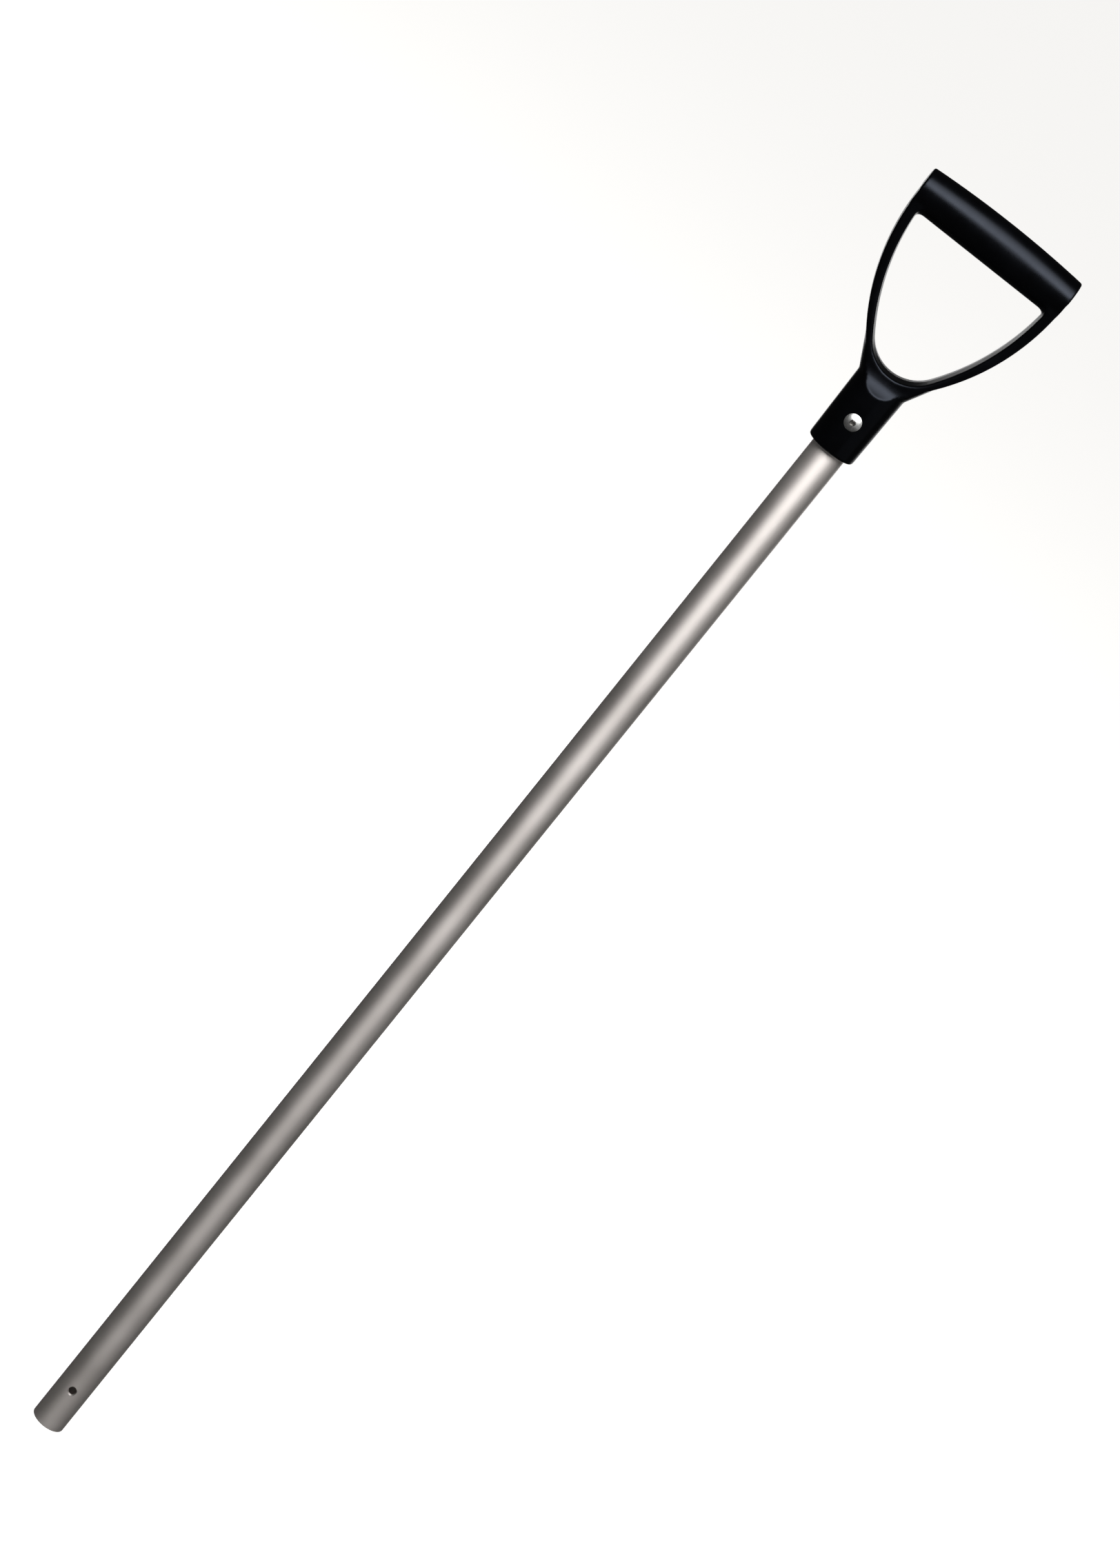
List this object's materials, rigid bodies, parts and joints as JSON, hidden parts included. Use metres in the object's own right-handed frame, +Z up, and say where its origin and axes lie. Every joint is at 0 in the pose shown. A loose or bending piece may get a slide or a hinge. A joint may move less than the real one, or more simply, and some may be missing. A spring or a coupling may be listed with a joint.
{
  "type": "shuffleboard cue",
  "caption": "Straight tubular shaft with a D-grip handle riveted to its upper end and a drilled lower end that takes a push head.",
  "frame": {"origin": "centre of the tube's open lower end, on the tube's axis", "axes": "+Z up the tube towards the grip, +X along the grip's crossbar, -Y towards the front, where the rivet and the drilled hole face"},
  "size_m": [0.12, 0.0384, 1.0941],
  "materials": {
    "shaft_aluminium": "satin anodised drawn tube",
    "grip_plastic": "semi-gloss injection-moulded black polypropylene",
    "rivet_aluminium": "bright domed rivet head",
    "mandrel_steel": "bright zinc-plated steel, broken flush"
  },
  "bodies": {
    "root": {"shaft_tube": "shaft_aluminium", "d_grip": "grip_plastic", "rivet_body": "rivet_aluminium", "rivet_mandrel": "mandrel_steel"}
  },
  "joints": []
}
